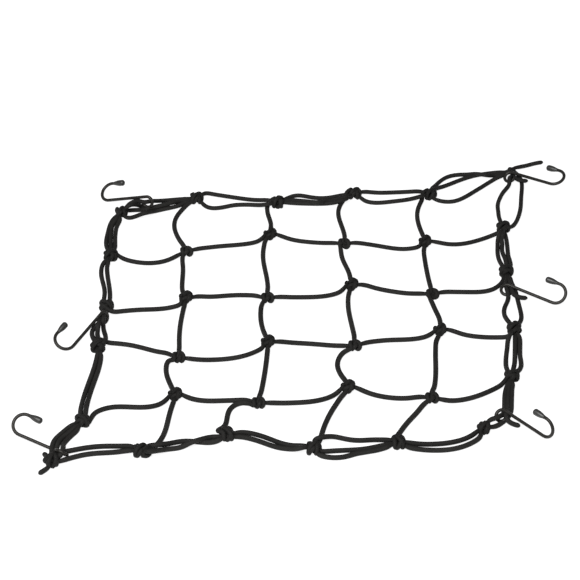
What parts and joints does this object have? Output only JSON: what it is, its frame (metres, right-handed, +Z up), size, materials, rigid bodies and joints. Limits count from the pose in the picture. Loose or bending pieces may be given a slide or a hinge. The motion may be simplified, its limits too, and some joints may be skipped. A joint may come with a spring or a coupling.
{
  "type": "cargo net",
  "caption": "Slack square net of black elastic cord, tied into open cells by knots, with a doubled border that holds bent wire hooks with dipped tips for tying down a load.",
  "frame": {"origin": "on the surface that the net lies on, under the middle of the whole part's box", "axes": "+Z up, +X to the right along the wider side, +Y away from the viewer"},
  "size_m": [0.5146, 0.4776, 0.0278],
  "materials": {
    "cord": "tightly braided black polyester sheath over elastic, matt with a faint dry sheen",
    "wire": "dark blackened steel wire, satin with pale highlights along it",
    "tip": "black dipped vinyl, smooth and slightly glossy"
  },
  "bodies": {
    "root": {"net": "cord", "hook_far_left": "wire", "hook_left": "wire", "hook_near_left": "wire", "hook_far_right": "wire", "hook_right": "wire", "hook_near_right": "wire", "tip_far_left": "tip", "tip_left": "tip", "tip_near_left": "tip", "tip_far_right": "tip", "tip_right": "tip", "tip_near_right": "tip"}
  },
  "joints": []
}
